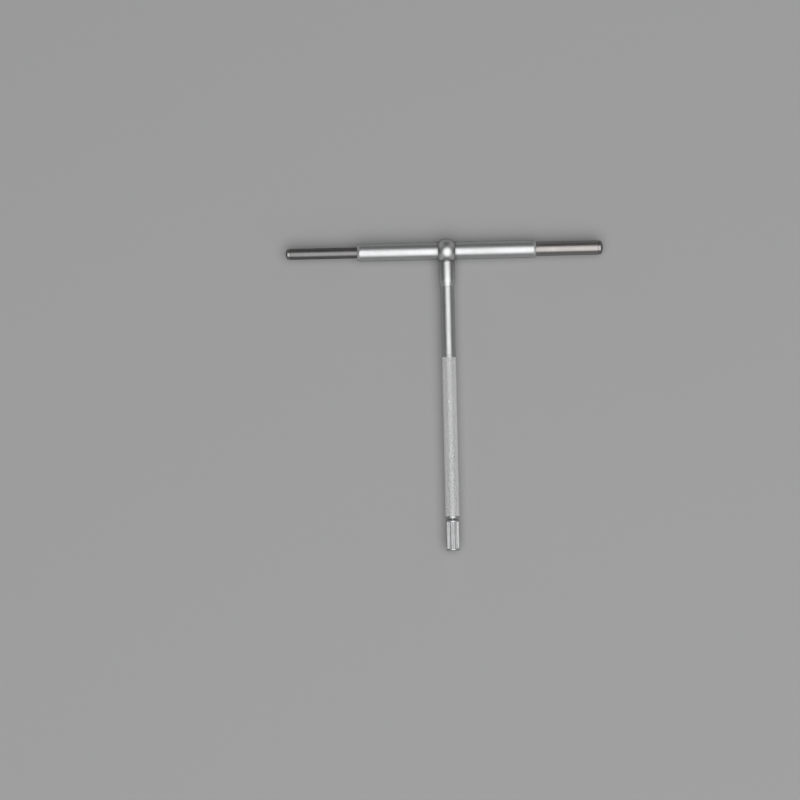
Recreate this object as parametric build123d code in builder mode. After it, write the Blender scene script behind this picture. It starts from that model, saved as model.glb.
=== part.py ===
from build123d import *
from math import asin, cos, sin, sqrt
import os

# Telescoping gauge for bores of 88.9 to 152.4 mm, lying flat with both rods sprung right out.
# +X runs along the crossbar towards the thick rod, the handle runs towards -Y, +Z is up.
# The origin lies on the surface that the gauge rests on, under the middle of its outline.
# Sizes are in millimetres. A handle distance is measured from the crossbar's axis.

# Crossbar
barrel_length = 85.8
barrel_wall = 0.76
barrel_nose_length = 1.1
barrel_nose_depth = 0.45
small_reach = 34.4
large_reach = 32.2
closed_reach = 1.55
large_rod_wall = 0.76
small_rod_wall = 1.3
spring_bore = 2.6
rod_tail = 4.0
rod_edge = 0.12
slide_clearance = 0.04
bush_length = 5.0
bush_lead = 0.25

# Contact tips
tip_land = 1.6
tip_step = 0.1
tip_edge = 0.35
large_tip_radius = 6.0
small_tip_radius = 4.5
tip_shank_length = 3.5
pilot_length = 3.0

# Spring
spring_wire = 0.25
spring_turns = 12
spring_clearance = 0.1
spring_seat_gap = 0.02

# Lock
lock_pin_diameter = 1.8
lock_pin_clearance = 0.1
keyway_depth = 0.6
thread_diameter = 3.0
thread_pitch = 0.5
thread_clearance = 0.03
lock_turn = 180
lock_squeeze_gap = 0.01
shoe_diameter = 2.92
shoe_step_gap = 0.35
shoe_back_gap = 0.5
rod_clearance = 0.1
rod_seat_gap = 0.02

# Head
ball_wall = 1.7
neck_diameter = 7.8
neck_end = 17.0
neck_edge = 0.4
socket_depth = 8.0
spigot_diameter = 5.2

# Handle
overall_length = 150.0
handle_bore = 2.5
stem_diameter = 6.4
stem_edge = 0.1
band_start = 50.0
band_diameter = 6.8
band_edge = 0.2
screw_reach = 12.0
tapping_runout = 1.0

# Lock screw
knob_diameter = 6.4
knob_length = 15.0
knob_gap = 0.6
knob_edge = 0.5
undercut_diameter = 2.2
undercut_length = 1.4
flute_count = 24
flute_depth = 0.3
flute_margin = 1.0

# Diameters that follow, from the inside out
small_rod_diameter = spring_bore + 2 * small_rod_wall
large_rod_bore = small_rod_diameter + 2 * slide_clearance
large_rod_diameter = large_rod_bore + 2 * large_rod_wall
barrel_bore = large_rod_diameter + 2 * slide_clearance
barrel_diameter = barrel_bore + 2 * barrel_wall
ball_radius = barrel_diameter / 2 + ball_wall

# Places
axis_height = ball_radius
axis_x = (small_reach - large_reach) / 2
axis_y = overall_length / 2 - ball_radius
crossing = (axis_x, axis_y, axis_height)
bar_plane = Plane(origin=crossing, x_dir=(1, 0, 0), z_dir=(0, 0, 1))
handle_plane = Plane(origin=crossing, x_dir=(0, -1, 0), z_dir=(0, 0, 1))
lock_plane = Plane(origin=crossing, x_dir=(1, 0, 0), z_dir=(0, -1, 0))
bar_axis = Axis(crossing, (1, 0, 0))
handle_axis = Axis(crossing, (0, -1, 0))

# Lengths that follow
barrel_half = barrel_length / 2
small_tip_x = -barrel_half - small_reach
large_tip_x = barrel_half + large_reach
small_travel = small_reach - closed_reach
large_travel = large_reach - closed_reach
slot_width = lock_pin_diameter + 2 * lock_pin_clearance
keyway_floor = small_rod_diameter / 2 - keyway_depth
lock_travel = thread_pitch * lock_turn / 360
shoe_shoulder = barrel_diameter / 2 + lock_travel + shoe_step_gap
shoe_end = neck_end - socket_depth - shoe_back_gap
rod_diameter = handle_bore - 2 * rod_clearance
handle_end = overall_length - ball_radius - knob_length - knob_gap
screw_nose = handle_end - screw_reach


def cap_height(half_width, radius):
    """Height of a spherical cap of that radius over a circle of that half width."""
    return radius - sqrt(radius**2 - half_width**2)


def half_cap(start, half_width, height, direction):
    """Arc from the rim of a cap, at start along the axis, to its top on the axis."""
    radius = (half_width**2 + height**2) / (2 * height)
    middle = asin(half_width / radius) / 2
    along = height - radius + radius * cos(middle)
    return ThreePointArc(
        (start, half_width),
        (start + direction * along, radius * sin(middle)),
        (start + direction * height, 0),
    )


large_tip_half = large_rod_diameter / 2 - tip_step
small_tip_half = small_rod_diameter / 2 - tip_step
large_cap = cap_height(large_tip_half - tip_edge, large_tip_radius)
small_cap = cap_height(small_tip_half - tip_edge, small_tip_radius)
large_rod_end = large_tip_x - large_cap - tip_land
small_rod_end = small_tip_x + small_cap + tip_land
large_seat = large_rod_end - tip_shank_length
small_seat = small_rod_end + tip_shank_length


# Head: a ball and a neck turned in one piece, bored for the barrel and socketed for the handle
neck_root = neck_diameter / 2 - neck_edge
neck_start = sqrt(ball_radius**2 - neck_root**2)
with BuildPart() as head:
    with Locations(Plane(origin=crossing, x_dir=(0, 0, 1), z_dir=(1, 0, 0))):
        Sphere(ball_radius)
    with BuildSketch(handle_plane):
        with BuildLine():
            Polyline(
                (0, 0),
                (0, neck_root),
                (neck_start, neck_root),
                (neck_start + neck_edge, neck_diameter / 2),
                (neck_end - neck_edge, neck_diameter / 2),
                (neck_end, neck_root),
                (neck_end, 0),
                close=True,
            )
        make_face()
    revolve(axis=handle_axis)
    with BuildSketch(Plane.YZ.offset(axis_x)):
        with Locations((axis_y, axis_height)):
            Circle(barrel_diameter / 2)
    extrude(amount=2 * ball_radius, both=True, mode=Mode.SUBTRACT)
    with BuildSketch(lock_plane):
        Circle(shoe_diameter / 2 + slide_clearance)
    extrude(amount=neck_end, mode=Mode.SUBTRACT)
    with BuildSketch(lock_plane.offset(neck_end - socket_depth)):
        Circle(spigot_diameter / 2)
    extrude(amount=socket_depth, mode=Mode.SUBTRACT)
head.part.label = "head"

# Barrel: the tube that both rods slide in, fixed through the ball, with the lock pin's hole
with BuildPart() as barrel:
    with BuildSketch(bar_plane):
        with BuildLine():
            Polyline(
                (-barrel_half, barrel_bore / 2),
                (-barrel_half, barrel_diameter / 2 - barrel_nose_depth),
                (-barrel_half + barrel_nose_length, barrel_diameter / 2),
                (barrel_half - barrel_nose_length, barrel_diameter / 2),
                (barrel_half, barrel_diameter / 2 - barrel_nose_depth),
                (barrel_half, barrel_bore / 2),
                close=True,
            )
        make_face()
    revolve(axis=bar_axis)
    with BuildSketch(lock_plane):
        Circle(slot_width / 2)
    extrude(amount=barrel_diameter, mode=Mode.SUBTRACT)
barrel.part.label = "barrel"

# Bush in the barrel's end that guides the thin rod
with BuildPart() as barrel_bush:
    with BuildSketch(bar_plane):
        with BuildLine():
            Polyline(
                (-barrel_half, large_rod_bore / 2 + bush_lead),
                (-barrel_half, barrel_bore / 2),
                (-barrel_half + bush_length, barrel_bore / 2),
                (-barrel_half + bush_length, large_rod_bore / 2),
                (-barrel_half + bush_lead, large_rod_bore / 2),
                close=True,
            )
        make_face()
    revolve(axis=bar_axis)
barrel_bush.part.label = "barrel_bush"

# Thick rod: a tube with a closed slot, which the lock pin stands in
with BuildPart() as large_plunger:
    with BuildSketch(bar_plane):
        with BuildLine():
            Polyline(
                (-rod_tail, large_rod_bore / 2),
                (-rod_tail, large_rod_diameter / 2 - rod_edge),
                (-rod_tail + rod_edge, large_rod_diameter / 2),
                (large_rod_end - rod_edge, large_rod_diameter / 2),
                (large_rod_end, large_rod_diameter / 2 - rod_edge),
                (large_rod_end, large_rod_bore / 2),
                close=True,
            )
        make_face()
    revolve(axis=bar_axis)
    with BuildSketch(lock_plane):
        with Locations((large_travel / 2, 0)):
            SlotCenterToCenter(large_travel, slot_width)
    extrude(amount=barrel_diameter, mode=Mode.SUBTRACT)
large_plunger.part.label = "large_plunger"

# Thick rod's contact tip: a shank pressed in the tube, a pilot for the spring and a ground dome
with BuildPart() as large_tip:
    with BuildSketch(bar_plane):
        with BuildLine():
            Polyline(
                (large_seat - pilot_length, 0),
                (large_seat - pilot_length, spring_bore / 2 - 2 * spring_clearance - spring_wire),
                (large_seat, spring_bore / 2 - 2 * spring_clearance - spring_wire),
                (large_seat, large_rod_bore / 2),
                (large_rod_end, large_rod_bore / 2),
                (large_rod_end, large_tip_half),
                (large_rod_end + tip_land - tip_edge, large_tip_half),
                (large_rod_end + tip_land, large_tip_half - tip_edge),
            )
            half_cap(large_rod_end + tip_land, large_tip_half - tip_edge, large_cap, 1)
            Line((large_tip_x, 0), (large_seat - pilot_length, 0))
        make_face()
    revolve(axis=bar_axis)
large_tip.part.label = "large_tip"

# Thin rod: a tube inside the thick one, with a keyway that the lock pin presses on
with BuildPart() as small_plunger:
    with BuildSketch(bar_plane):
        with BuildLine():
            Polyline(
                (rod_tail, spring_bore / 2),
                (rod_tail, small_rod_diameter / 2 - rod_edge),
                (rod_tail - rod_edge, small_rod_diameter / 2),
                (small_rod_end + rod_edge, small_rod_diameter / 2),
                (small_rod_end, small_rod_diameter / 2 - rod_edge),
                (small_rod_end, spring_bore / 2),
                close=True,
            )
        make_face()
    revolve(axis=bar_axis)
    with BuildSketch(lock_plane.offset(keyway_floor)):
        with Locations((-small_travel / 2, 0)):
            SlotCenterToCenter(small_travel, slot_width)
    extrude(amount=barrel_diameter, mode=Mode.SUBTRACT)
small_plunger.part.label = "small_plunger"

# Thin rod's contact tip
with BuildPart() as small_tip:
    with BuildSketch(bar_plane):
        with BuildLine():
            Polyline(
                (small_seat, 0),
                (small_seat, spring_bore / 2),
                (small_rod_end, spring_bore / 2),
                (small_rod_end, small_tip_half),
                (small_rod_end - tip_land + tip_edge, small_tip_half),
                (small_rod_end - tip_land, small_tip_half - tip_edge),
            )
            half_cap(small_rod_end - tip_land, small_tip_half - tip_edge, small_cap, -1)
            Line((small_tip_x, 0), (small_seat, 0))
        make_face()
    revolve(axis=bar_axis)
small_tip.part.label = "small_tip"

# Spring: one long coil inside both rods, which pushes their tips apart
# Its round wire is drawn with four sides, and one helix follows another, so that it stays light
coil_radius = spring_bore / 2 - spring_clearance - spring_wire / 2
coil_start = small_seat + spring_wire / 2 + spring_seat_gap
coil_end = large_seat - spring_wire / 2 - spring_seat_gap
coil_pitch = (coil_end - coil_start) / spring_turns
with BuildPart() as plunger_spring:
    with BuildLine() as coil_line:
        for turn in range(spring_turns):
            Helix(
                pitch=coil_pitch,
                height=coil_pitch,
                radius=coil_radius,
                center=(axis_x + coil_start + turn * coil_pitch, axis_y, axis_height),
                direction=(1, 0, 0),
            )
    coil = coil_line.wires()[0]
    with BuildSketch(Plane(origin=coil @ 0, z_dir=coil % 0)):
        RegularPolygon(spring_wire / 2, side_count=4)
    sweep(is_frenet=True)
plunger_spring.part.label = "plunger_spring"

# Handle: one turned tube with a spigot in the neck, a plain stem, a gripping band and a tapped end
with BuildPart() as handle:
    with BuildSketch(handle_plane):
        with BuildLine():
            Polyline(
                (neck_end - socket_depth, handle_bore / 2),
                (neck_end - socket_depth, spigot_diameter / 2),
                (neck_end, spigot_diameter / 2),
                (neck_end, stem_diameter / 2 - stem_edge),
                (neck_end + stem_edge, stem_diameter / 2),
                (band_start, stem_diameter / 2),
                (band_start + band_edge, band_diameter / 2),
                (handle_end - band_edge, band_diameter / 2),
                (handle_end, band_diameter / 2 - band_edge),
                (handle_end, thread_diameter / 2 + thread_clearance),
                (screw_nose - tapping_runout, thread_diameter / 2 + thread_clearance),
                (screw_nose - tapping_runout, handle_bore / 2),
                close=True,
            )
        make_face()
    revolve(axis=handle_axis)
handle.part.label = "handle"

# Lock screw: a fluted knob, an undercut and the threaded shank
knob_start = handle_end + knob_gap
with BuildPart() as lock_screw:
    with BuildSketch(handle_plane):
        with BuildLine():
            Polyline(
                (screw_nose, 0),
                (screw_nose, thread_diameter / 2 - thread_pitch),
                (screw_nose + thread_pitch, thread_diameter / 2),
                (knob_start - undercut_length, thread_diameter / 2),
                (knob_start - undercut_length, undercut_diameter / 2),
                (knob_start, undercut_diameter / 2),
                (knob_start, knob_diameter / 2 - knob_edge),
                (knob_start + knob_edge, knob_diameter / 2),
                (knob_start + knob_length - knob_edge, knob_diameter / 2),
                (knob_start + knob_length, knob_diameter / 2 - knob_edge),
                (knob_start + knob_length, 0),
                close=True,
            )
        make_face()
    revolve(axis=handle_axis)
    with BuildSketch(lock_plane.offset(knob_start + flute_margin)):
        with PolarLocations(knob_diameter / 2, flute_count):
            RegularPolygon(flute_depth, side_count=4)
    extrude(amount=knob_length - 2 * flute_margin, mode=Mode.SUBTRACT)
lock_screw.part.label = "lock_screw"

# Lock rod: a loose rod down the handle between the screw and the shoe
with BuildPart() as lock_rod:
    with BuildSketch(lock_plane.offset(shoe_end)):
        Circle(rod_diameter / 2)
    extrude(amount=screw_nose - rod_seat_gap - shoe_end)
lock_rod.part.label = "lock_rod"

# Lock shoe: its guide slides in the head, its pin stands in the slot and the keyway
pin_nose = keyway_floor + lock_squeeze_gap + lock_travel
with BuildPart() as lock_shoe:
    with BuildSketch(lock_plane.offset(pin_nose)):
        Circle(lock_pin_diameter / 2)
    extrude(amount=shoe_shoulder - pin_nose)
    with BuildSketch(lock_plane.offset(shoe_shoulder)):
        Circle(shoe_diameter / 2)
    extrude(amount=shoe_end - shoe_shoulder)
lock_shoe.part.label = "lock_shoe"

pieces = [
    head,
    barrel,
    barrel_bush,
    large_plunger,
    large_tip,
    small_plunger,
    small_tip,
    plunger_spring,
    handle,
    lock_screw,
    lock_rod,
    lock_shoe,
]
os.makedirs("parts", exist_ok=True)
for piece in pieces:
    export_step(piece.part, f"parts/{piece.part.label}.step")
    print(piece.part.label, round(piece.part.volume, 2))
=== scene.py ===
import math

import bmesh
import bpy
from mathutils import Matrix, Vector


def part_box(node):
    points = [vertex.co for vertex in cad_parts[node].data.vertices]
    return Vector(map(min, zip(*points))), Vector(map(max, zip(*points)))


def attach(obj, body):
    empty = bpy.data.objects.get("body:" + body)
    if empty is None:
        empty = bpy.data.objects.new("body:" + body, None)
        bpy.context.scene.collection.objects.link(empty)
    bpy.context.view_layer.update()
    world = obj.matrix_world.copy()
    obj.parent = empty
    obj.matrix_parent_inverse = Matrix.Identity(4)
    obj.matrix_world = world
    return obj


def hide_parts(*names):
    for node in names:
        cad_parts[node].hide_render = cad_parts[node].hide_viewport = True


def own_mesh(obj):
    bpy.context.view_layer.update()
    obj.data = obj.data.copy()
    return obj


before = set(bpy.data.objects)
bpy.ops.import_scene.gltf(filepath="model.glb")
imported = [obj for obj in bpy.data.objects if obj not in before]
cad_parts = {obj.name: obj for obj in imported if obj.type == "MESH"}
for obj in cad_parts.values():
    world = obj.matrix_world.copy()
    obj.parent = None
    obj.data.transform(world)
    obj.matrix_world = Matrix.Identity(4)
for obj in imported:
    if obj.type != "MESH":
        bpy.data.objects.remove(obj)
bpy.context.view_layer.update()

# A telescoping gauge lying flat, seen from straight above. Metres, +X along the crossbar, handle towards -Y.
mm = 0.001
poleRadius = 1e-7  # a smaller ring becomes one point
weldReach = 1e-8


def boxMiddle(node, axis):
    low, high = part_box(node)
    return (low[axis] + high[axis]) / 2


def boxSize(node, axis):
    low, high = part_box(node)
    return high[axis] - low[axis]


crossing = Vector((boxMiddle("handle", 0), boxMiddle("barrel", 1), boxMiddle("barrel", 2)))
barLine = (crossing, Vector((1, 0, 0)))  # distances run towards the thick rod
handleLine = (crossing, Vector((0, -1, 0)))  # distances run down the handle
up = Vector((0, 0, 1))


def alongBar(x):
    return x - crossing.x


def alongHandle(y):
    return crossing.y - y


print("frame loaded, bar and handle cross at", [round(v / mm, 2) for v in crossing])


# Profiles and turned meshes


def newPiece(name, data):
    piece = bpy.data.objects.new(name, data)
    bpy.context.scene.collection.objects.link(piece)
    return piece


def arcCorners(centre, radius, first, last, steps):
    # points on an arc about a centre on the turning line, angles in degrees from the line's direction
    corners = []
    for i in range(steps + 1):
        angle = math.radians(first + (last - first) * i / steps)
        corners.append((centre + radius * math.cos(angle), max(radius * math.sin(angle), 0), 0))
    return corners


def roundedProfile(corners, steps=5, hold=0.02 * mm):
    # takes corners (along, radius, rounding), gives points (along, radius, wear), wear 1 on a rounded edge
    profile = []
    for i, (along, radius, rounding) in enumerate(corners):
        here = Vector((along, radius))
        if rounding <= 0:
            profile.append((along, radius, 0))
            continue
        before = (Vector(corners[i - 1][:2]) - here).normalized()
        after = (Vector(corners[(i + 1) % len(corners)][:2]) - here).normalized()
        half = before.angle(after) / 2
        reach = rounding / math.tan(half)
        centre = here + (before + after).normalized() * rounding / math.sin(half)
        first = here + before * reach - centre
        last = here + after * reach - centre
        turn = first.angle_signed(last)
        start = here + before * (reach + hold)
        end = here + after * (reach + hold)
        profile.append((start.x, start.y, 0))
        for step in range(steps + 1):
            angle = -turn * step / steps
            x = first.x * math.cos(angle) - first.y * math.sin(angle)
            y = first.x * math.sin(angle) + first.y * math.cos(angle)
            profile.append((centre.x + x, centre.y + y, 1))
        profile.append((end.x, end.y, 0))
    return profile


def finishMesh(bm, sharpAngle=32):
    bmesh.ops.recalc_face_normals(bm, faces=bm.faces)
    limit = math.radians(sharpAngle)
    for face in bm.faces:
        face.smooth = True
    for edge in bm.edges:
        if len(edge.link_faces) == 2 and edge.calc_face_angle() > limit:
            edge.smooth = False


def turned(name, line, profile, segments=144):
    # a closed profile turned about its line; a point on the line itself becomes a pole
    start, along = line
    across = along.cross(up)
    bm = bmesh.new()
    wearLayer = bm.verts.layers.float.new("wear")
    rings = []
    for distance, radius, wear in profile:
        ring = []
        for i in range(segments if radius > poleRadius else 1):
            angle = 2 * math.pi * i / segments
            side = up * math.cos(angle) + across * math.sin(angle)
            vert = bm.verts.new(start + along * distance + side * radius)
            vert[wearLayer] = wear
            ring.append(vert)
        rings.append(ring)
    for i, ring in enumerate(rings):
        other = rings[(i + 1) % len(rings)]
        if len(ring) == 1 and len(other) == 1:
            continue
        for k in range(segments):
            n = (k + 1) % segments
            corners = [ring[k % len(ring)], other[k % len(other)], other[n % len(other)], ring[n % len(ring)]]
            bm.faces.new(list(dict.fromkeys(corners)))  # a pole counts once
    bmesh.ops.remove_doubles(bm, verts=bm.verts, dist=weldReach)
    finishMesh(bm)
    mesh = bpy.data.meshes.new(name)
    bm.to_mesh(mesh)
    bm.free()
    return newPiece(name, mesh)


def plainMesh(piece):
    # turns what the modifiers make into the piece's own mesh
    graph = bpy.context.evaluated_depsgraph_get()
    mesh = bpy.data.meshes.new_from_object(piece.evaluated_get(graph))
    old = piece.data
    piece.modifiers.clear()
    piece.data = mesh
    mesh.name = piece.name
    bpy.data.meshes.remove(old)
    bm = bmesh.new()
    bm.from_mesh(mesh)
    finishMesh(bm)
    bm.to_mesh(mesh)
    bm.free()
    return piece


def cutAway(piece, cutter):
    cut = piece.modifiers.new("cut", "BOOLEAN")
    cut.operation = "DIFFERENCE"
    cut.solver = "EXACT"
    cut.object = cutter
    plainMesh(piece)
    bpy.data.objects.remove(cutter)
    return piece


# Shader groups, shared by the metals


def newGroup(name, inputs, outputs):
    group = bpy.data.node_groups.new(name, "ShaderNodeTree")
    for label, kind, value in inputs:
        socket = group.interface.new_socket(name=label, in_out="INPUT", socket_type=kind)
        if value is not None:
            socket.default_value = value
    for label, kind in outputs:
        group.interface.new_socket(name=label, in_out="OUTPUT", socket_type=kind)
    return group, group.nodes.new("NodeGroupInput"), group.nodes.new("NodeGroupOutput")


def addNode(tree, kind, settings=None, values=None, links=None):
    node = tree.nodes.new(kind)
    for key, value in (settings or {}).items():
        setattr(node, key, value)
    for key, value in (values or {}).items():
        node.inputs[key].default_value = value
    for key, source in (links or {}).items():
        tree.links.new(source, node.inputs[key])
    return node


def feed(tree, node, terms):
    # a term is a number or another node's output
    for i, term in enumerate(terms):
        if isinstance(term, (int, float)):
            node.inputs[i].default_value = term
        else:
            tree.links.new(term, node.inputs[i])
    return node.outputs[0]


def calc(tree, operation, *terms, clamp=False):
    return feed(tree, addNode(tree, "ShaderNodeMath", {"operation": operation, "use_clamp": clamp}), terms)


def vectorOf(tree, *terms):
    return feed(tree, addNode(tree, "ShaderNodeCombineXYZ"), terms)


def makeTurnedLines():
    # fine rings left by turning or grinding; X runs along the piece
    group, given, result = newGroup(
        "turnedLines",
        [("Vector", "NodeSocketVector", None), ("Lines Per Metre", "NodeSocketFloat", 9000.0),
         ("Waver", "NodeSocketFloat", 0.00004)],
        [("Lines", "NodeSocketFloat"), ("Bands", "NodeSocketFloat")],
    )
    waver = addNode(group, "ShaderNodeTexNoise", {"noise_dimensions": "3D"}, {"Scale": 260.0, "Detail": 1.0},
                    {"Vector": given.outputs["Vector"]})
    centred = calc(group, "SUBTRACT", waver.outputs["Fac"], 0.5)
    shift = calc(group, "MULTIPLY", centred, given.outputs["Waver"])
    split = addNode(group, "ShaderNodeSeparateXYZ", None, None, {0: given.outputs["Vector"]})
    moved = calc(group, "ADD", split.outputs["X"], shift)
    spread = calc(group, "MULTIPLY", moved, given.outputs["Lines Per Metre"])
    lines = addNode(group, "ShaderNodeTexNoise", {"noise_dimensions": "1D"}, {"Scale": 1.0, "Detail": 4.0},
                    {"W": spread})
    bands = addNode(group, "ShaderNodeTexNoise", {"noise_dimensions": "1D"}, {"Scale": 1.0, "Detail": 2.0},
                    {"W": calc(group, "MULTIPLY", spread, 0.04)})
    group.links.new(lines.outputs["Fac"], result.inputs["Lines"])
    group.links.new(bands.outputs["Fac"], result.inputs["Bands"])
    return group


def makeHandling():
    # soft smudges from fingers and a few fine scratches along and across the piece
    group, given, result = newGroup(
        "handling",
        [("Vector", "NodeSocketVector", None), ("Smudge Scale", "NodeSocketFloat", 120.0),
         ("Place", "NodeSocketFloat", 0.0)],
        [("Smudge", "NodeSocketFloat"), ("Scratches", "NodeSocketFloat")],
    )
    smudge = addNode(group, "ShaderNodeTexNoise", {"noise_dimensions": "4D"},
                     {"Detail": 5.0, "Roughness": 0.62},
                     {"Vector": given.outputs["Vector"], "Scale": given.outputs["Smudge Scale"],
                      "W": given.outputs["Place"]})
    even = addNode(group, "ShaderNodeMapRange", {"interpolation_type": "SMOOTHSTEP"},
                   {"From Min": 0.35, "From Max": 0.68}, {"Value": smudge.outputs["Fac"]})
    stretched = addNode(group, "ShaderNodeMapping", None,
                        {"Scale": (90.0, 2600.0, 2600.0), "Rotation": (0.0, 0.25, 0.35)},
                        {"Vector": given.outputs["Vector"]})
    streaks = addNode(group, "ShaderNodeTexNoise", {"noise_dimensions": "4D"}, {"Scale": 1.0, "Detail": 2.0},
                      {"Vector": stretched.outputs["Vector"], "W": given.outputs["Place"]})
    scratches = addNode(group, "ShaderNodeMapRange", {"interpolation_type": "SMOOTHSTEP"},
                        {"From Min": 0.7, "From Max": 0.76}, {"Value": streaks.outputs["Fac"]})
    group.links.new(even.outputs["Result"], result.inputs["Smudge"])
    group.links.new(scratches.outputs["Result"], result.inputs["Scratches"])
    return group


def makeWornEdgeAndShade():
    # breaks the wear-and-shade attribute into patches: above 0 it is a rubbed edge, below 0 painted shade
    # where parts meet
    group, given, result = newGroup(
        "wornEdgeAndShade",
        [("Vector", "NodeSocketVector", None), ("Amount", "NodeSocketFloat", 0.5)],
        [("Worn", "NodeSocketFloat"), ("Painted Shade", "NodeSocketFloat")],
    )
    wear = addNode(group, "ShaderNodeAttribute", {"attribute_name": "wear"}).outputs["Fac"]
    patches = addNode(group, "ShaderNodeTexNoise", {"noise_dimensions": "3D"},
                      {"Scale": 900.0, "Detail": 3.0}, {"Vector": given.outputs["Vector"]})
    broken = addNode(group, "ShaderNodeMapRange", None, {"From Min": 0.4, "From Max": 0.6},
                     {"Value": patches.outputs["Fac"]})
    rubbed = calc(group, "MULTIPLY", calc(group, "MAXIMUM", wear, 0.0), broken.outputs["Result"])
    worn = calc(group, "MULTIPLY", rubbed, given.outputs["Amount"])
    group.links.new(worn, result.inputs["Worn"])
    # the second output is painted shade: the part of the attribute below 0, at the ball's junctions
    group.links.new(calc(group, "MULTIPLY", wear, -1.0, clamp=True), result.inputs["Painted Shade"])
    return group


turnedLines = makeTurnedLines()
handling = makeHandling()
wornEdgeAndShade = makeWornEdgeAndShade()
quarterTurn = math.pi / 2


def tinted(tree, share, under, colour):
    # lays a colour over what is under it, as far as the share says
    mixed = addNode(tree, "ShaderNodeMix", {"data_type": "RGBA"}, {"B": (*colour, 1.0)},
                    {"Factor": share, "A": under})
    return mixed.outputs[2]


def metal(name, look):
    # a solid metal; the pattern's X runs along the bar, or along the handle where the look says so
    material = bpy.data.materials.new(name)
    material.use_nodes = True
    tree = material.node_tree
    shader = tree.nodes["Principled BSDF"]
    shader.inputs["Metallic"].default_value = 1.0
    shader.inputs["Specular Tint"].default_value = (*look["grazing"], 1.0)
    place = addNode(tree, "ShaderNodeTexCoord")
    turn = (0.0, 0.0, quarterTurn if look["along"] == "handle" else 0.0)
    mapped = addNode(tree, "ShaderNodeMapping", {"vector_type": "POINT"}, {"Rotation": turn},
                     {"Vector": place.outputs["Object"]})
    vector = mapped.outputs["Vector"]
    lines = addNode(tree, "ShaderNodeGroup", {"node_tree": turnedLines},
                    {"Lines Per Metre": look["lines"], "Waver": look["waver"]}, {"Vector": vector})
    hands = addNode(tree, "ShaderNodeGroup", {"node_tree": handling},
                    {"Smudge Scale": look["smudgeScale"], "Place": look["place"]}, {"Vector": vector})
    edge = addNode(tree, "ShaderNodeGroup", {"node_tree": wornEdgeAndShade}, {"Amount": look["wear"]},
                   {"Vector": vector})
    grip = addNode(tree, "ShaderNodeAttribute", {"attribute_name": "grip"}).outputs["Fac"]

    bands = addNode(tree, "ShaderNodeMix", {"data_type": "RGBA"},
                    {"A": (*look["darker"], 1.0), "B": (*look["colour"], 1.0)},
                    {"Factor": lines.outputs["Bands"]})
    filmShare = calc(tree, "MULTIPLY", hands.outputs["Smudge"], look["filmShare"])
    smudged = tinted(tree, filmShare, bands.outputs[2], look["film"])
    worn = tinted(tree, edge.outputs["Worn"], smudged, look["bare"])
    # painted shade: the colour is pulled towards the dark shade colour where the ball meets the barrel and
    # the neck
    withPaintedShade = tinted(tree, edge.outputs["Painted Shade"], worn, look["paintedShadeColour"])
    bright = tinted(tree, grip, withPaintedShade, look["gripColour"])
    tree.links.new(bright, shader.inputs["Base Color"])

    roughLow, roughHigh = look["roughness"]
    grain = addNode(tree, "ShaderNodeMapRange", None,
                    {"From Min": 0.3, "From Max": 0.7, "To Min": roughLow, "To Max": roughHigh},
                    {"Value": lines.outputs["Lines"]})
    greasy = calc(tree, "MULTIPLY_ADD", hands.outputs["Smudge"], look["smudgeRough"], grain.outputs["Result"])
    scored = calc(tree, "MULTIPLY_ADD", hands.outputs["Scratches"], look["scratchRough"], greasy, clamp=True)
    gripped = calc(tree, "MULTIPLY_ADD", grip, look["gripRough"], scored, clamp=True)
    tree.links.new(gripped, shader.inputs["Roughness"])

    relief = calc(tree, "MULTIPLY_ADD", hands.outputs["Scratches"], -look["scratchDepth"],
                  lines.outputs["Lines"])
    bump = addNode(tree, "ShaderNodeBump", None,
                   {"Strength": look["relief"], "Distance": look["reliefDepth"]}, {"Height": relief})
    tree.links.new(bump.outputs["Normal"], shader.inputs["Normal"])
    return material


# the dark colour 0.16 below is painted shade, laid where the ball meets the barrel and the neck
satinChrome = {
    "along": "bar", "colour": (0.76, 0.765, 0.77), "darker": (0.71, 0.715, 0.72),
    "bare": (0.80, 0.79, 0.77), "grazing": (0.06, 0.065, 0.07), "paintedShadeColour": (0.16, 0.155, 0.15),
    "film": (0.60, 0.60, 0.59), "filmShare": 0.3, "smudgeScale": 110.0, "place": 1.3, "wear": 0.5,
    "roughness": (0.38, 0.46), "smudgeRough": 0.05, "scratchRough": 0.1,
    "lines": 9000.0, "waver": 0.00003, "relief": 0.25, "reliefDepth": 0.000004, "scratchDepth": 0.8,
    "gripColour": (0.97, 0.97, 0.97), "gripRough": 0.32,
}


def varied(base, **changes):
    return {**base, **changes}


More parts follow.
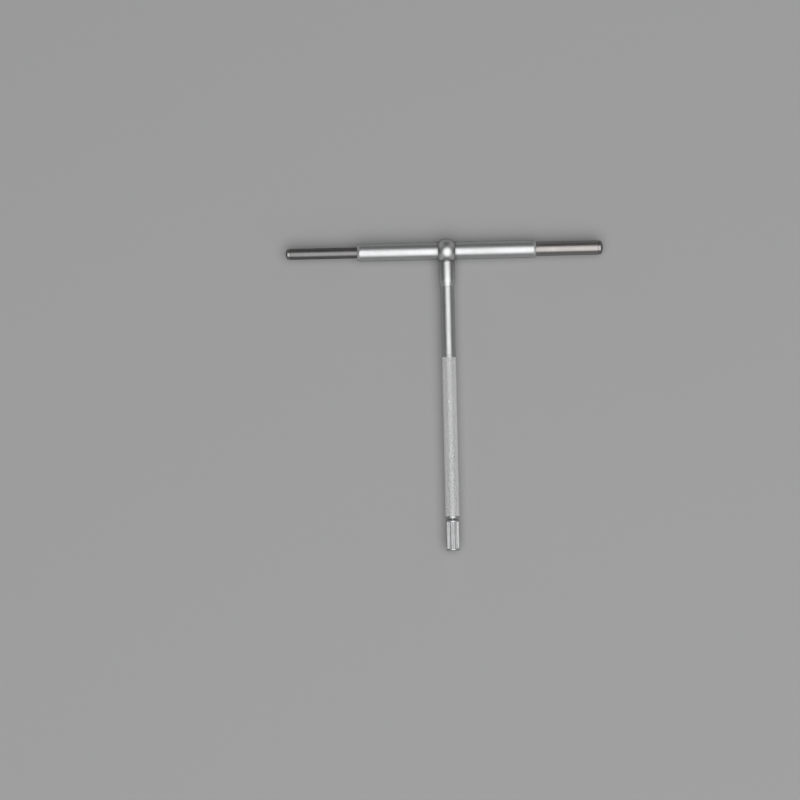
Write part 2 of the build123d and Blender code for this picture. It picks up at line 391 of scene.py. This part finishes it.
looks = {
    "barrel_satin": satinChrome,
    "head_chrome": varied(
        satinChrome, along="handle", roughness=(0.34, 0.42), lines=7000.0, relief=0.6, reliefDepth=0.00001,
        place=2.6),
    "handle_chrome": varied(
        satinChrome, along="handle", colour=(0.68, 0.685, 0.69), darker=(0.62, 0.625, 0.63), place=4.1),
    "screw_chrome": varied(
        satinChrome, along="handle", colour=(0.69, 0.695, 0.70), darker=(0.63, 0.635, 0.64), place=5.7),
    "large_rod_steel": varied(
        satinChrome, colour=(0.47, 0.445, 0.43), darker=(0.43, 0.41, 0.395), film=(0.38, 0.36, 0.35),
        bare=(0.55, 0.53, 0.51), roughness=(0.31, 0.41), lines=6500.0, place=7.2),
    "small_rod_steel": varied(
        satinChrome, colour=(0.28, 0.275, 0.27), darker=(0.245, 0.24, 0.24), film=(0.22, 0.21, 0.21),
        bare=(0.36, 0.35, 0.34), roughness=(0.36, 0.46), lines=6500.0, place=8.9),
    "tip_steel": varied(
        satinChrome, colour=(0.40, 0.39, 0.385), darker=(0.36, 0.355, 0.35), film=(0.32, 0.31, 0.30),
        bare=(0.52, 0.51, 0.50), roughness=(0.30, 0.40), lines=11000.0, place=10.4, wear=0.7),
    "bush_steel": varied(
        satinChrome, colour=(0.45, 0.445, 0.44), darker=(0.38, 0.38, 0.375), roughness=(0.4, 0.5),
        place=11.8),
    "spring_steel": varied(
        satinChrome, colour=(0.36, 0.36, 0.37), darker=(0.30, 0.30, 0.31), roughness=(0.3, 0.4),
        lines=2500.0, place=13.1),
    "lock_steel": varied(
        satinChrome, along="handle", colour=(0.44, 0.44, 0.44), darker=(0.38, 0.38, 0.38),
        roughness=(0.3, 0.42), place=14.7),
}
finishes = {name: metal(name, look) for name, look in looks.items()}


def dress(piece, body, slotName, *replaced):
    piece.data.materials.clear()
    piece.data.materials.append(finishes[slotName])
    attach(piece, body)
    if replaced:
        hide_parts(*replaced)
    return piece


print("metals ready:", len(finishes))


# Crossbar: the barrel, its tube cut for the lock pin

barrelSizes = {
    "half": boxSize("barrel", 0) / 2, "outer": boxSize("barrel", 2) / 2, "bore": 3.44 * mm,
    "noseLength": 1.1 * mm, "noseDepth": 0.45 * mm, "noseRound": 1.6 * mm, "rimRound": 0.12 * mm,
    # the last two sizes paint shade onto the barrel within a millimetre of the ball
    "boreRound": 0.06 * mm, "pinHole": 1.0 * mm, "holeSegments": 48, "paintedShadeReach": 1.0 * mm,
    "paintedShadeShare": 0.5,
}
# where the ball meets the barrel
barrelSizes["junction"] = math.sqrt((boxSize("head", 2) / 2) ** 2 - barrelSizes["outer"] ** 2)


def makeBarrel(s):
    corners = [
        (-s["half"], s["bore"], s["boreRound"]),
        (-s["half"], s["outer"] - s["noseDepth"], s["rimRound"]),
        (-s["half"] + s["noseLength"], s["outer"], s["noseRound"]),
        (-s["junction"] - s["paintedShadeReach"], s["outer"], 0),
        (-s["junction"], s["outer"], 0),
        (s["junction"], s["outer"], 0),
        (s["junction"] + s["paintedShadeReach"], s["outer"], 0),
        (s["half"] - s["noseLength"], s["outer"], s["noseRound"]),
        (s["half"], s["outer"] - s["noseDepth"], s["rimRound"]),
        (s["half"], s["bore"], s["boreRound"]),
    ]
    profile = []
    # painted shade: under and beside the ball the barrel's colour is darkened, fading out over the reach
    for along, radius, wear in roundedProfile(corners, 6):
        atBall = abs(along) <= s["junction"] and radius == s["outer"]
        profile.append((along, radius, -s["paintedShadeShare"] if atBall else wear))
    tube = turned("barrel_tube", barLine, profile)
    hole = turned("pin_hole", handleLine, [
        (0, 0, 0), (0, s["pinHole"], 0), (2 * s["outer"], s["pinHole"], 0), (2 * s["outer"], 0, 0),
    ], s["holeSegments"])
    return cutAway(tube, hole)


dress(makeBarrel(barrelSizes), "gauge_body", "barrel_satin", "barrel")
print("barrel made")


# Head: ball and neck turned in one piece, bored for the barrel

headSizes = {
    "ball": boxSize("head", 2) / 2, "neck": 3.9 * mm, "neckEnd": alongHandle(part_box("head")[0].y),
    "neckEdge": 0.4 * mm, "rootRound": 0.12 * mm, "edgeRound": 0.5 * mm, "taper": 2.6 * mm,
    "taperRound": 5.0 * mm, "taperEnd": 3.23 * mm, "endRound": 0.03 * mm, "socket": 2.6 * mm,
    "socketDepth": 8.0 * mm, "shoeBore": 1.5 * mm, "ballSteps": 48, "segments": 160,
    # these two sizes paint shade where the ball meets the neck and the bar
    "paintedShadeReach": 1.1 * mm, "paintedShadeShare": 0.45,
}


def makeHead(s):
    root = s["neck"] - s["neckEdge"]
    neckStart = math.sqrt(s["ball"] ** 2 - root ** 2)
    corners = arcCorners(0, s["ball"], 180, math.degrees(math.asin(root / s["ball"])), s["ballSteps"])
    corners[-1] = (neckStart, root, s["rootRound"])
    corners += [
        (neckStart + s["neckEdge"], s["neck"], s["edgeRound"]),
        (s["neckEnd"] - s["taper"], s["neck"], s["taperRound"]),
        (s["neckEnd"], s["taperEnd"], s["endRound"]),
        (s["neckEnd"], s["socket"], 0),
        (s["neckEnd"] - s["socketDepth"], s["socket"], 0),
        (s["neckEnd"] - s["socketDepth"], s["shoeBore"], 0),
        (0, s["shoeBore"], 0),
        (0, 0, 0),
    ]
    profile = []
    # painted shade on the ball and neck, fading with distance from where they meet
    for along, radius, wear in roundedProfile(corners):
        closeness = 1 - abs(along - neckStart) / s["paintedShadeReach"]
        profile.append((along, radius, -s["paintedShadeShare"] * closeness if closeness > 0 else wear))
    ball = turned("ball_and_neck", handleLine, profile, s["segments"])
    reach = 2 * s["ball"]
    bore = turned("bar_bore", barLine, [
        (-reach, 0, 0), (-reach, barrelSizes["outer"], 0), (reach, barrelSizes["outer"], 0), (reach, 0, 0),
    ], s["segments"])
    cutAway(ball, bore)
    # painted shade on the ball beside the bar, fading with distance from it
    wear = ball.data.attributes["wear"].data
    for vert in ball.data.vertices:  # the ball darkens towards the bar as well
        fromBar = math.hypot(vert.co.y - crossing.y, vert.co.z - crossing.z) - barrelSizes["outer"]
        closeness = 1 - fromBar / s["paintedShadeReach"]
        if closeness > 0 and alongHandle(vert.co.y) < s["ball"]:
            wear[vert.index].value = -s["paintedShadeShare"] * min(closeness, 1)
    return ball


dress(makeHead(headSizes), "gauge_body", "head_chrome", "head")
print("head made")


# Contact tips: a shank in the tube, a land and a ground dome

anyTip = {
    "land": 1.6 * mm, "edge": 0.35 * mm, "edgeRound": 0.3 * mm, "rimRound": 0.15 * mm, "seatRound": 0.08 * mm,
    "shankLength": 3.5 * mm, "segments": 128,
}
tipSizes = {
    "large": varied(anyTip, end=boxSize("large_tip", 2) / 2, shank=2.64 * mm, radius=6.0 * mm,
                    pilot=0.85 * mm, pilotLength=3.0 * mm, pilotRound=0.1 * mm),
    "small": varied(anyTip, end=boxSize("small_tip", 2) / 2, shank=1.3 * mm, radius=4.5 * mm),
}


def domeCorners(top, rim, radius, steps=14):
    # from the rim of the dome to its top, in the direction of the top
    side = 1 if top > 0 else -1
    half = math.degrees(math.asin(rim / radius))
    corners = []
    for i in range(steps + 1):
        angle = math.radians(half * (1 - i / steps))
        corners.append((top - side * radius * (1 - math.cos(angle)), radius * math.sin(angle), 0))
    return corners


def makeTip(name, s, top):
    side = 1 if top > 0 else -1
    dome = domeCorners(top, s["end"] - s["edge"], s["radius"])
    rim = dome[0][0]
    dome[0] = (rim, dome[0][1], s["rimRound"])
    shoulder = rim - side * s["land"]
    seat = shoulder - side * s["shankLength"]
    if "pilot" in s:
        pilotEnd = seat - side * s["pilotLength"]
        corners = [(pilotEnd, 0, 0), (pilotEnd, s["pilot"], s["pilotRound"]), (seat, s["pilot"], 0)]
    else:
        corners = [(seat, 0, 0)]
    corners += [
        (seat, s["shank"], s["seatRound"]),
        (shoulder, s["shank"], 0),
        (shoulder, s["end"], s["seatRound"]),
        (rim - side * s["edge"], s["end"], s["edgeRound"]),
    ]
    return turned(name, barLine, roundedProfile(corners + dome), s["segments"])


largeTipTop = alongBar(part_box("large_tip")[1].x)
smallTipTop = alongBar(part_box("small_tip")[0].x)
dress(makeTip("large_contact", tipSizes["large"], largeTipTop), "large_rod", "tip_steel", "large_tip")
dress(makeTip("small_contact", tipSizes["small"], smallTipTop), "small_rod", "tip_steel", "small_tip")
print("contact tips made")


# Geometry node trees for what repeats: the grip's diamonds, the screw's thread and flutes, the spring's turns


def newTree(name, inputs):
    tree = bpy.data.node_groups.new(name, "GeometryNodeTree")
    tree.interface.new_socket(name="Geometry", in_out="INPUT", socket_type="NodeSocketGeometry")
    for label, kind in inputs:
        tree.interface.new_socket(name=label, in_out="INPUT", socket_type="NodeSocket" + kind)
    tree.interface.new_socket(name="Finish", in_out="INPUT", socket_type="NodeSocketMaterial")
    tree.interface.new_socket(name="Geometry", in_out="OUTPUT", socket_type="NodeSocketGeometry")
    given = tree.nodes.new("NodeGroupInput")
    return tree, given.outputs


def closeTree(tree, given, shape):
    realized = addNode(tree, "GeometryNodeRealizeInstances", None, None, {"Geometry": shape})
    painted = addNode(tree, "GeometryNodeSetMaterial", None, None,
                      {"Geometry": realized.outputs["Geometry"], "Material": given["Finish"]})
    result = tree.nodes.new("NodeGroupOutput")
    tree.links.new(painted.outputs["Geometry"], result.inputs["Geometry"])
    return tree


def grow(piece, tree, values):
    # runs a tree on a piece and keeps the result as its plain mesh
    modifier = piece.modifiers.new(tree.name, "NODES")
    modifier.node_group = tree
    for item in tree.interface.items_tree:
        if item.in_out == "INPUT" and item.name in values:
            modifier[item.identifier] = values[item.name]
    piece.data.update()
    return plainMesh(piece)


def makeDiamondTree():
    # closed pyramids with flat tops, in staggered rows round a stem that runs towards -Y
    tree, given = newTree("diamondGrip", [
        ("Studs Around", "Int"), ("Rows", "Int"), ("Row Step", "Float"), ("First Row", "Float"),
        ("Valley Radius", "Float"), ("Crest Radius", "Float"), ("Sink", "Float"), ("Top Share", "Float"),
        ("Unevenness", "Float"), ("Seed", "Int"), ("Stem X", "Float"), ("Stem Z", "Float"), ("Grip", "Float"),
    ])
    count = calc(tree, "MULTIPLY", given["Studs Around"], given["Rows"])
    index = tree.nodes.new("GeometryNodeInputIndex").outputs[0]
    row = calc(tree, "FLOOR", calc(tree, "DIVIDE", index, given["Studs Around"]))
    place = calc(tree, "SUBTRACT", index, calc(tree, "MULTIPLY", row, given["Studs Around"]))
    stagger = calc(tree, "MULTIPLY", calc(tree, "MODULO", row, 2.0), 0.5)
    share = calc(tree, "DIVIDE", calc(tree, "ADD", place, stagger), given["Studs Around"])
    angle = calc(tree, "MULTIPLY", share, 2 * math.pi)
    foot = calc(tree, "SUBTRACT", given["Valley Radius"], given["Sink"])
    x = calc(tree, "ADD", calc(tree, "MULTIPLY", calc(tree, "SINE", angle), foot), given["Stem X"])
    y = calc(tree, "SUBTRACT", given["First Row"], calc(tree, "MULTIPLY", row, given["Row Step"]))
    z = calc(tree, "ADD", calc(tree, "MULTIPLY", calc(tree, "COSINE", angle), foot), given["Stem Z"])
    points = addNode(tree, "GeometryNodePoints", None, None,
                     {"Count": count, "Position": vectorOf(tree, x, y, z)})
    stud = addNode(tree, "GeometryNodeMeshCone", None, {
        "Vertices": 4, "Side Segments": 1, "Fill Segments": 1, "Radius Bottom": 1.0, "Depth": 1.0},
        {"Radius Top": given["Top Share"]})
    chance = addNode(tree, "FunctionNodeRandomValue", {"data_type": "FLOAT"}, {2: -1.0, 3: 1.0},
                     {"Seed": given["Seed"]})
    uneven = calc(tree, "MULTIPLY", chance.outputs[1], given["Unevenness"])
    height = calc(tree, "ADD", calc(tree, "SUBTRACT", given["Crest Radius"], foot), uneven)
    halfRound = calc(tree, "MULTIPLY", given["Valley Radius"], math.pi)
    half = calc(tree, "DIVIDE", halfRound, given["Studs Around"])
    turn = addNode(tree, "FunctionNodeEulerToRotation", None, None,
                   {"Euler": vectorOf(tree, 0.0, angle, 0.0)})
    studs = addNode(tree, "GeometryNodeInstanceOnPoints", None, None, {
        "Points": points.outputs[0], "Instance": stud.outputs["Mesh"], "Rotation": turn.outputs[0],
        "Scale": vectorOf(tree, half, given["Row Step"], height)})
    loose = addNode(tree, "GeometryNodeRealizeInstances", None, None, {"Geometry": studs.outputs[0]})
    matt = addNode(tree, "GeometryNodeStoreNamedAttribute", {"data_type": "FLOAT", "domain": "POINT"},
                   {"Name": "grip"}, {"Geometry": loose.outputs[0], "Value": given["Grip"]})
    both = tree.nodes.new("GeometryNodeJoinGeometry")
    tree.links.new(given["Geometry"], both.inputs[0])
    tree.links.new(matt.outputs[0], both.inputs[0])
    return closeTree(tree, given, both.outputs[0])


def makeScrewTree():
    # cuts straight flutes into a knob and winds a ridge of thread on its shank; built along Z, then laid down
    tree, given = newTree("screwDetail", [
        ("Flutes", "Int"), ("Knob Radius", "Float"), ("Flute Depth", "Float"), ("Flute Length", "Float"),
        ("Flute Middle", "Float"), ("Turns", "Float"), ("Thread Length", "Float"), ("Ridge Radius", "Float"),
        ("Ridge Size", "Float"), ("Thread Start", "Float"), ("Corner", "Vector"),
    ])
    ring = addNode(tree, "GeometryNodeMeshCircle", None, None,
                   {"Vertices": given["Flutes"], "Radius": given["Knob Radius"]})
    index = tree.nodes.new("GeometryNodeInputIndex").outputs[0]
    angle = calc(tree, "DIVIDE", calc(tree, "MULTIPLY", index, 2 * math.pi), given["Flutes"])
    turn = addNode(tree, "FunctionNodeEulerToRotation", None, None,
                   {"Euler": vectorOf(tree, 0.0, 0.0, angle)})
    prism = addNode(tree, "GeometryNodeMeshCylinder", None, {"Vertices": 4},
                    {"Radius": given["Flute Depth"], "Depth": given["Flute Length"]})
    prisms = addNode(tree, "GeometryNodeInstanceOnPoints", None, None, {
        "Points": ring.outputs["Mesh"], "Instance": prism.outputs["Mesh"], "Rotation": turn.outputs[0]})
    loose = addNode(tree, "GeometryNodeRealizeInstances", None, None, {"Geometry": prisms.outputs[0]})
    raised = addNode(tree, "GeometryNodeTransform", None, None, {
        "Geometry": loose.outputs[0], "Translation": vectorOf(tree, 0.0, 0.0, given["Flute Middle"])})
    helix = addNode(tree, "GeometryNodeCurveSpiral", None, {"Resolution": 32, "Reverse": False},
                    {"Rotations": given["Turns"], "Start Radius": given["Ridge Radius"],
                     "End Radius": given["Ridge Radius"], "Height": given["Thread Length"]})
    upright = addNode(tree, "GeometryNodeSetCurveNormal", {"mode": "Z_UP"}, None, {"Curve": helix.outputs[0]})
    ridge = addNode(tree, "GeometryNodeCurvePrimitiveCircle", {"mode": "RADIUS"}, {"Resolution": 3},
                    {"Radius": given["Ridge Size"]})
    thread = addNode(tree, "GeometryNodeCurveToMesh", None, {"Fill Caps": True},
                     {"Curve": upright.outputs[0], "Profile Curve": ridge.outputs[0]})
    shifted = addNode(tree, "GeometryNodeTransform", None, None, {
        "Geometry": thread.outputs[0], "Translation": vectorOf(tree, 0.0, 0.0, given["Thread Start"])})
    down = (quarterTurn, 0.0, 0.0)  # Z becomes -Y, the way down the handle
    flutes = addNode(tree, "GeometryNodeTransform", None, {"Rotation": down},
                     {"Geometry": raised.outputs[0], "Translation": given["Corner"]})
    laid = addNode(tree, "GeometryNodeTransform", None, {"Rotation": down},
                   {"Geometry": shifted.outputs[0], "Translation": given["Corner"]})
    cut = addNode(tree, "GeometryNodeMeshBoolean", {"operation": "DIFFERENCE", "solver": "EXACT"})
    tree.links.new(given["Geometry"], cut.inputs["Mesh 1"])
    tree.links.new(flutes.outputs[0], cut.inputs["Mesh 2"])
    both = tree.nodes.new("GeometryNodeJoinGeometry")
    tree.links.new(cut.outputs["Mesh"], both.inputs[0])
    tree.links.new(laid.outputs[0], both.inputs[0])
    return closeTree(tree, given, both.outputs[0])


def makeCoilTree():
    # a coil of round wire along +X
    tree, given = newTree("coilSpring", [
        ("Turns", "Float"), ("Coil Radius", "Float"), ("Wire Radius", "Float"), ("Length", "Float"),
        ("Corner", "Vector"), ("Steps", "Int"), ("Sides", "Int"),
    ])
    helix = addNode(tree, "GeometryNodeCurveSpiral", None, None, {
        "Resolution": given["Steps"], "Rotations": given["Turns"], "Start Radius": given["Coil Radius"],
        "End Radius": given["Coil Radius"], "Height": given["Length"]})
    wire = addNode(tree, "GeometryNodeCurvePrimitiveCircle", {"mode": "RADIUS"}, None,
                   {"Resolution": given["Sides"], "Radius": given["Wire Radius"]})
    coil = addNode(tree, "GeometryNodeCurveToMesh", None, {"Fill Caps": True},
                   {"Curve": helix.outputs[0], "Profile Curve": wire.outputs[0]})
    laid = addNode(tree, "GeometryNodeTransform", None, {"Rotation": (0.0, quarterTurn, 0.0)},
                   {"Geometry": coil.outputs[0], "Translation": given["Corner"]})
    return closeTree(tree, given, laid.outputs[0])


# Handle: a turned tube whose lower part is a fine diamond grip between plain collars

handleSizes = {
    "start": alongHandle(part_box("handle")[1].y), "end": alongHandle(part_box("handle")[0].y),
    "bore": 1.25 * mm, "spigot": 2.6 * mm, "neckEnd": headSizes["neckEnd"], "stem": 3.2 * mm,
    "stemEdge": 0.1 * mm, "bandStart": 50.0 * mm, "bandEdge": 0.2 * mm, "crest": boxSize("handle", 0) / 2,
    "collar": 0.7 * mm, "valley": 3.2 * mm, "tapped": 1.53 * mm, "tappedDepth": 13.0 * mm,
    "stemRound": 0.1 * mm, "bandRound": 0.12 * mm, "collarRound": 0.04 * mm, "endRound": 0.08 * mm,
    "tappedRound": 0.05 * mm,
}
gripSizes = {
    "studs": 27, "rowStep": 0.67 * mm, "sink": 0.05 * mm, "topShare": 0.36, "uneven": 0.012 * mm, "seed": 7,
    "grip": 0.8,
}


def makeHandle(s, g):
    gripStart = s["bandStart"] + s["collar"]
    gripEnd = s["end"] - s["collar"]
    tappedTop = s["end"] - s["tappedDepth"]
    corners = [
        (s["start"], s["bore"], 0),
        (s["start"], s["spigot"], 0),
        (s["neckEnd"], s["spigot"], 0),
        (s["neckEnd"], s["stem"] - s["stemEdge"], 0),
        (s["neckEnd"] + s["stemEdge"], s["stem"], s["stemRound"]),
        (s["bandStart"], s["stem"], s["stemRound"]),
        (s["bandStart"] + s["bandEdge"], s["crest"], s["bandRound"]),
        (gripStart, s["crest"], s["collarRound"]),
        (gripStart, s["valley"], 0),
        (gripEnd, s["valley"], 0),
        (gripEnd, s["crest"], s["collarRound"]),
        (s["end"] - s["bandEdge"], s["crest"], s["bandRound"]),
        (s["end"], s["crest"] - s["bandEdge"], s["endRound"]),
        (s["end"], s["tapped"], s["tappedRound"]),
        (tappedTop, s["tapped"], 0),
        (tappedTop, s["bore"], 0),
    ]
    handle = turned("gripped_handle", handleLine, roundedProfile(corners, 4))
    room = gripEnd - gripStart - 2 * g["rowStep"]
    rows = int(room / g["rowStep"]) + 1
    first = gripStart + g["rowStep"] + (room - (rows - 1) * g["rowStep"]) / 2
    return grow(handle, makeDiamondTree(), {
        "Studs Around": g["studs"], "Rows": rows, "Row Step": g["rowStep"], "First Row": crossing.y - first,
        "Valley Radius": s["valley"], "Crest Radius": s["crest"] - g["uneven"], "Sink": g["sink"],
        "Top Share": g["topShare"], "Unevenness": g["uneven"], "Seed": g["seed"], "Stem X": crossing.x,
        "Stem Z": crossing.z, "Grip": g["grip"], "Finish": finishes["handle_chrome"]})


grippedHandle = dress(makeHandle(handleSizes, gripSizes), "gauge_body", "handle_chrome", "handle")
print("handle made,", len(grippedHandle.data.polygons), "faces")


# Lock screw: fluted knob, undercut and threaded shank

screwSizes = {
    "nose": alongHandle(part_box("lock_screw")[1].y), "end": alongHandle(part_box("lock_screw")[0].y),
    "knob": boxSize("lock_screw", 2) / 2, "knobLength": 15.0 * mm, "knobEdge": 0.5 * mm, "core": 1.22 * mm,
    "crest": 1.5 * mm, "pitch": 0.5 * mm, "undercut": 1.1 * mm, "undercutLength": 1.4 * mm,
    "flutes": 24, "fluteDepth": 0.3 * mm, "fluteMargin": 1.0 * mm, "ridge": 0.19 * mm,
    "leadLength": 0.4 * mm, "leadDepth": 0.22 * mm, "leadRound": 0.05 * mm, "undercutRound": 0.1 * mm,
    "shoulderRound": 0.12 * mm, "knobRound": 0.25 * mm, "endRound": 0.15 * mm,
}


def makeScrew(s):
    knobStart = s["end"] - s["knobLength"]
    shankEnd = knobStart - s["undercutLength"]
    corners = [
        (s["nose"], 0, 0),
        (s["nose"], s["core"] - s["leadDepth"], s["leadRound"]),
        (s["nose"] + s["leadLength"], s["core"], 0),
        (shankEnd, s["core"], 0),
        (shankEnd, s["undercut"], 0),
        (knobStart, s["undercut"], s["undercutRound"]),
        (knobStart, s["knob"] - s["knobEdge"], s["shoulderRound"]),
        (knobStart + s["knobEdge"], s["knob"], s["knobRound"]),
        (s["end"] - s["knobEdge"], s["knob"], s["knobRound"]),
        (s["end"], s["knob"] - s["knobEdge"], s["endRound"]),
        (s["end"], 0, 0),
    ]
    screw = turned("fluted_screw", handleLine, roundedProfile(corners, 4))
    threadLength = shankEnd - s["nose"] - 2 * s["pitch"]
    fluteLength = s["knobLength"] - 2 * s["fluteMargin"]
    return grow(screw, makeScrewTree(), {
        "Flutes": s["flutes"], "Knob Radius": s["knob"], "Flute Depth": s["fluteDepth"],
        "Flute Length": fluteLength, "Flute Middle": knobStart + s["knobLength"] / 2,
        "Turns": threadLength / s["pitch"], "Thread Length": threadLength,
        "Ridge Radius": s["crest"] - s["ridge"], "Ridge Size": s["ridge"],
        "Thread Start": s["nose"] + s["pitch"], "Corner": crossing, "Finish": finishes["screw_chrome"]})


flutedScrew = dress(makeScrew(screwSizes), "lock_knob", "screw_chrome", "lock_screw")
print("lock screw made,", len(flutedScrew.data.polygons), "faces")


# Spring: one long coil in two halves, each from the crossing to its seat in a rod's tip

springSizes = {"wire": 0.125 * mm, "radius": 1.075 * mm, "turns": 45, "steps": 20, "sides": 6}
springHalves = {
    "spring_left": {"joint": "small_rod_slide", "seat": -71.65 * mm, "travel": 32.85 * mm},
    "spring_right": {"joint": "large_rod_slide", "seat": 69.22 * mm, "travel": 30.65 * mm},
}


def makeSpringHalf(name, half, s):
    # from the seat in the rod's tip to the crossing, or the other way round
    start, end = sorted((0, half["seat"] - math.copysign(s["wire"], half["seat"])))
    coil = newPiece(name, bpy.data.meshes.new(name))
    return grow(coil, coilTree, {
        "Turns": float(s["turns"]), "Coil Radius": s["radius"], "Wire Radius": s["wire"],
        "Length": end - start, "Corner": crossing + Vector((start, 0, 0)), "Steps": s["steps"],
        "Sides": s["sides"], "Finish": finishes["spring_steel"]})


coilTree = makeCoilTree()
for halfName, half in springHalves.items():
    coil = dress(makeSpringHalf(halfName, half, springSizes), "gauge_body", "spring_steel", "plunger_spring")
    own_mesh(coil)
print("spring made")


# Pieces that keep the shape of their solids

for nodeName, slotName in [("barrel_bush", "bush_steel"), ("large_plunger", "large_rod_steel"),
                           ("small_plunger", "small_rod_steel"), ("lock_rod", "lock_steel"),
                           ("lock_shoe", "lock_steel")]:
    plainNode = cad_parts[nodeName]
    plainNode.data.materials.clear()
    plainNode.data.materials.append(finishes[slotName])
print("plain pieces dressed")


# Studio: pale floor, one broad overhead lamp, a dim room with a soft panel in each corner

studio = {
    "floorColour": (0.5, 0.5, 0.5), "floorSize": 14.0, "floorRough": 0.85, "floorShine": 0.2,
    "lampHeight": 2.5, "lampSide": 3.75, "lampLength": 4.5, "lampPower": 66.0, "lampRight": 0.3,
    "lampUp": -0.9, "room": (0.055, 0.056, 0.058), "corners": (0.4, 0.4, 0.4),
    "cornerEdge": (0.25, 0.75), "cornerFoot": (0.0, 0.12), "cornerTop": (0.42, 0.6),
}


def makeFloor(s):
    half = s["floorSize"] / 2
    mesh = bpy.data.meshes.new("floor")
    corners = [(-half, -half, 0), (half, -half, 0), (half, half, 0), (-half, half, 0)]
    mesh.from_pydata(corners, [], [(0, 1, 2, 3)])
    material = bpy.data.materials.new("floor_pale")
    material.use_nodes = True
    shader = material.node_tree.nodes["Principled BSDF"]
    shader.inputs["Base Color"].default_value = (*s["floorColour"], 1.0)
    shader.inputs["Roughness"].default_value = s["floorRough"]
    shader.inputs["Specular IOR Level"].default_value = s["floorShine"]
    mesh.materials.append(material)
    newPiece("floor", mesh)


def softStep(tree, value, start, end, low=0.0, high=1.0):
    step = addNode(tree, "ShaderNodeMapRange", {"interpolation_type": "SMOOTHSTEP"},
                   {"From Min": start, "From Max": end, "To Min": low, "To Max": high}, {"Value": value})
    return step.outputs["Result"]


def makeLights(s):
    lamp = bpy.data.lights.new("overhead", "AREA")
    lamp.shape = "ELLIPSE"
    lamp.size = s["lampSide"]
    lamp.size_y = s["lampLength"]
    lamp.energy = s["lampPower"]
    hung = newPiece("overhead", lamp)
    hung.location = (crossing.x + s["lampRight"], s["lampUp"], s["lampHeight"])
    hung.visible_camera = False
    world = bpy.data.worlds.new("room")
    world.use_nodes = True
    tree = world.node_tree
    place = addNode(tree, "ShaderNodeTexCoord")
    split = addNode(tree, "ShaderNodeSeparateXYZ", None, None, {0: place.outputs["Generated"]})
    x, y, z = split.outputs
    flat = calc(tree, "ADD", calc(tree, "MULTIPLY", x, x), calc(tree, "MULTIPLY", y, y))
    diagonal = calc(tree, "DIVIDE", calc(tree, "MULTIPLY", calc(tree, "MULTIPLY", x, y), 2.0), flat)
    share = calc(tree, "MULTIPLY", diagonal, diagonal)  # 0 along the bar and the handle, 1 between them
    lit = calc(tree, "MULTIPLY", calc(
        tree, "MULTIPLY", softStep(tree, z, *s["cornerFoot"]), softStep(tree, z, *s["cornerTop"], 1.0, 0.0)),
        softStep(tree, share, *s["cornerEdge"]))
    walls = addNode(tree, "ShaderNodeMix", {"data_type": "RGBA"},
                    {"A": (*s["room"], 1.0), "B": (*s["corners"], 1.0)}, {"Factor": lit})
    tree.links.new(walls.outputs[2], tree.nodes["Background"].inputs["Color"])
    bpy.context.scene.world = world


makeFloor(studio)
makeLights(studio)
bpy.context.scene.view_settings.view_transform = "Standard"
print("studio ready")


# Camera: straight above, turned so that the bar lies as in the photograph

photo = {
    "side": 800, "crossingX": 446.5, "crossingY": 250.9, "metresPerPixel": 0.0004805, "turn": 1.3,
    "height": 1.6, "sensor": 36.0,
}


def makeCamera(p):
    turn = math.radians(p["turn"])
    right = Vector((math.cos(turn), -math.sin(turn), 0))
    upward = Vector((math.sin(turn), math.cos(turn), 0))
    offsetRight = (p["crossingX"] - p["side"] / 2) * p["metresPerPixel"]
    offsetUp = (p["side"] / 2 - p["crossingY"]) * p["metresPerPixel"]
    data = bpy.data.cameras.new("camera")
    data.sensor_width = p["sensor"]
    data.lens = p["sensor"] * p["height"] / (p["side"] * p["metresPerPixel"])
    camera = newPiece("camera", data)
    camera.location = crossing - right * offsetRight - upward * offsetUp + up * p["height"]
    camera.rotation_euler = (0, 0, -turn)
    bpy.context.scene.camera = camera


makeCamera(photo)
print("camera ready")
